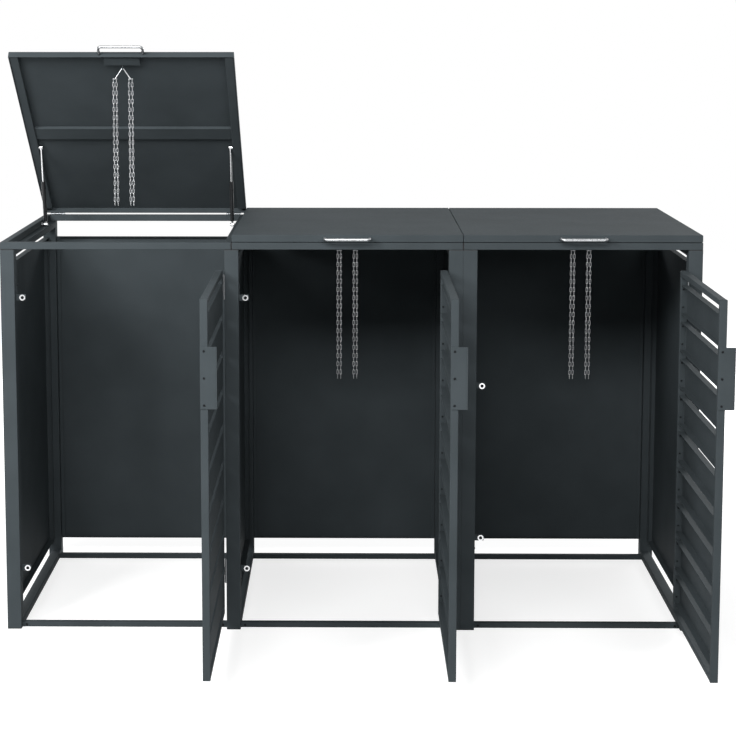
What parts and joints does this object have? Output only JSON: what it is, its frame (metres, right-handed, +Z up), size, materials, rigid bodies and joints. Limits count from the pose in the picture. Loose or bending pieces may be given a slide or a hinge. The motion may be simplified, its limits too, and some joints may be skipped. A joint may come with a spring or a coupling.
{
  "type": "wheelie bin store",
  "caption": "Steel store for wheeled refuse bins: open frame with sheet panels, gas-strutted hinged lids and hinged louvred front doors.",
  "frame": {"origin": "middle of the store's width, on the ground under the middle of the front floor rail", "axes": "+X to the right seen from the front, +Y from front to back, +Z up"},
  "size_m": [1.99, 1.3974, 1.6821],
  "materials": {
    "powder_coat": "fine satin powder coat, anthracite grey",
    "black_plastic": "matt black moulded plastic",
    "steel": "plain stainless steel",
    "chrome": "bright plated steel",
    "strut_black": "smooth satin black cylinder",
    "magnet": "bright nickel plated pot magnet",
    "dark_screw": "blackened screw heads"
  },
  "bodies": {
    "frame": {"front_posts": "powder_coat", "rear_posts": "powder_coat", "tube_end_caps": "black_plastic", "front_top_rails": "powder_coat", "rear_top_rails": "powder_coat", "side_top_rails": "powder_coat", "side_head_rails": "powder_coat", "side_floor_rails": "powder_coat", "cross_floor_rails": "powder_coat", "outer_side_panels": "powder_coat", "partition_panels": "powder_coat", "back_panels": "powder_coat", "magnet_brackets": "powder_coat", "magnets": "magnet", "frame_screws": "dark_screw", "door_hinge_leaves_fixed": "steel", "lid_hinge_leaves_fixed": "steel", "hinge_pins": "steel", "strut_studs": "steel"},
    "lid_1": {"lid_1_panel": "powder_coat", "lid_1_braces": "powder_coat", "lid_1_handle": "chrome", "lid_1_handle_plate": "powder_coat", "lid_1_hinge_leaves": "steel"},
    "strut_cylinders_1": {"lid_1_strut_cylinders": "strut_black"},
    "strut_rods_1": {"lid_1_strut_rods": "chrome"},
    "chains_1": {"lid_1_chains": "chrome"},
    "door_1": {"door_1_frame": "powder_coat", "door_1_louvres": "powder_coat", "door_1_pull_plate": "powder_coat", "door_1_screws": "dark_screw", "door_1_hinge_leaves": "steel"},
    "lid_2": {"lid_2_panel": "powder_coat", "lid_2_braces": "powder_coat", "lid_2_handle": "chrome", "lid_2_handle_plate": "powder_coat", "lid_2_hinge_leaves": "steel"},
    "strut_cylinders_2": {"lid_2_strut_cylinders": "strut_black"},
    "strut_rods_2": {"lid_2_strut_rods": "chrome"},
    "chains_2": {"lid_2_chains": "chrome"},
    "door_2": {"door_2_frame": "powder_coat", "door_2_louvres": "powder_coat", "door_2_pull_plate": "powder_coat", "door_2_screws": "dark_screw", "door_2_hinge_leaves": "steel"},
    "lid_3": {"lid_3_panel": "powder_coat", "lid_3_braces": "powder_coat", "lid_3_handle": "chrome", "lid_3_handle_plate": "powder_coat", "lid_3_hinge_leaves": "steel"},
    "strut_cylinders_3": {"lid_3_strut_cylinders": "strut_black"},
    "strut_rods_3": {"lid_3_strut_rods": "chrome"},
    "chains_3": {"lid_3_chains": "chrome"},
    "door_3": {"door_3_frame": "powder_coat", "door_3_louvres": "powder_coat", "door_3_pull_plate": "powder_coat", "door_3_screws": "dark_screw", "door_3_hinge_leaves": "steel"}
  },
  "joints": [
    {"name": "lid_1_hinge", "type": "hinge", "parent": "frame", "child": "lid_1", "pos_m": [-0.66667, 0.774, 1.131], "axis": [-1, 0, 0], "range_deg": [-40, 0]},
    {"name": "strut_1_swing", "type": "hinge", "parent": "frame", "child": "strut_cylinders_1", "pos_m": [-0.66667, 0.574, 1.1175], "axis": [-1, 0, 0], "range_deg": [-67, 0]},
    {"name": "strut_1_slide", "type": "slide", "parent": "strut_cylinders_1", "child": "strut_rods_1", "axis": [0, -0.24, 0.9708], "range_m": [-0.1025, 0]},
    {"name": "chain_1_swing", "type": "hinge", "parent": "lid_1", "child": "chains_1", "pos_m": [-0.66667, 0.19947, 1.61309], "axis": [-1, 0, 0], "range_deg": [0, 40]},
    {"name": "door_1_hinge", "type": "hinge", "parent": "frame", "child": "door_1", "pos_m": [-0.35983, -0.0332, 0.552], "axis": [0, 0, 1], "range_deg": [-90, 20]},
    {"name": "lid_2_hinge", "type": "hinge", "parent": "frame", "child": "lid_2", "pos_m": [-0.01, 0.774, 1.131], "axis": [-1, 0, 0], "range_deg": [0, 40]},
    {"name": "strut_2_swing", "type": "hinge", "parent": "frame", "child": "strut_cylinders_2", "pos_m": [-0.01, 0.574, 1.1175], "axis": [-1, 0, 0], "range_deg": [0, 67]},
    {"name": "strut_2_slide", "type": "slide", "parent": "strut_cylinders_2", "child": "strut_rods_2", "axis": [0, -0.9869, 0.1612], "range_m": [0, 0.1025]},
    {"name": "chain_2_swing", "type": "hinge", "parent": "lid_2", "child": "chains_2", "pos_m": [-0.01, 0.024, 1.131], "axis": [-1, 0, 0], "range_deg": [-40, 0]},
    {"name": "door_2_hinge", "type": "hinge", "parent": "frame", "child": "door_2", "pos_m": [0.27683, -0.0332, 0.552], "axis": [0, 0, 1], "range_deg": [-90, 20]},
    {"name": "lid_3_hinge", "type": "hinge", "parent": "frame", "child": "lid_3", "pos_m": [0.65667, 0.774, 1.131], "axis": [-1, 0, 0], "range_deg": [0, 40]},
    {"name": "strut_3_swing", "type": "hinge", "parent": "frame", "child": "strut_cylinders_3", "pos_m": [0.65667, 0.574, 1.1175], "axis": [-1, 0, 0], "range_deg": [0, 67]},
    {"name": "strut_3_slide", "type": "slide", "parent": "strut_cylinders_3", "child": "strut_rods_3", "axis": [0, -0.9869, 0.1612], "range_m": [0, 0.1025]},
    {"name": "chain_3_swing", "type": "hinge", "parent": "lid_3", "child": "chains_3", "pos_m": [0.65667, 0.024, 1.131], "axis": [-1, 0, 0], "range_deg": [-40, 0]},
    {"name": "door_3_hinge", "type": "hinge", "parent": "frame", "child": "door_3", "pos_m": [0.9535, -0.0332, 0.552], "axis": [0, 0, 1], "range_deg": [-90, 20]}
  ],
  "couplings": [
    {"joint": "strut_1_swing", "follows": "lid_1_hinge", "ratio": 1.6709},
    {"joint": "strut_1_slide", "follows": "lid_1_hinge", "m_per_rad": 0.1466},
    {"joint": "chain_1_swing", "follows": "lid_1_hinge", "ratio": -1},
    {"joint": "strut_2_swing", "follows": "lid_2_hinge", "ratio": 1.6709},
    {"joint": "strut_2_slide", "follows": "lid_2_hinge", "m_per_rad": 0.1466},
    {"joint": "chain_2_swing", "follows": "lid_2_hinge", "ratio": -1},
    {"joint": "strut_3_swing", "follows": "lid_3_hinge", "ratio": 1.6709},
    {"joint": "strut_3_slide", "follows": "lid_3_hinge", "m_per_rad": 0.1466},
    {"joint": "chain_3_swing", "follows": "lid_3_hinge", "ratio": -1}
  ]
}
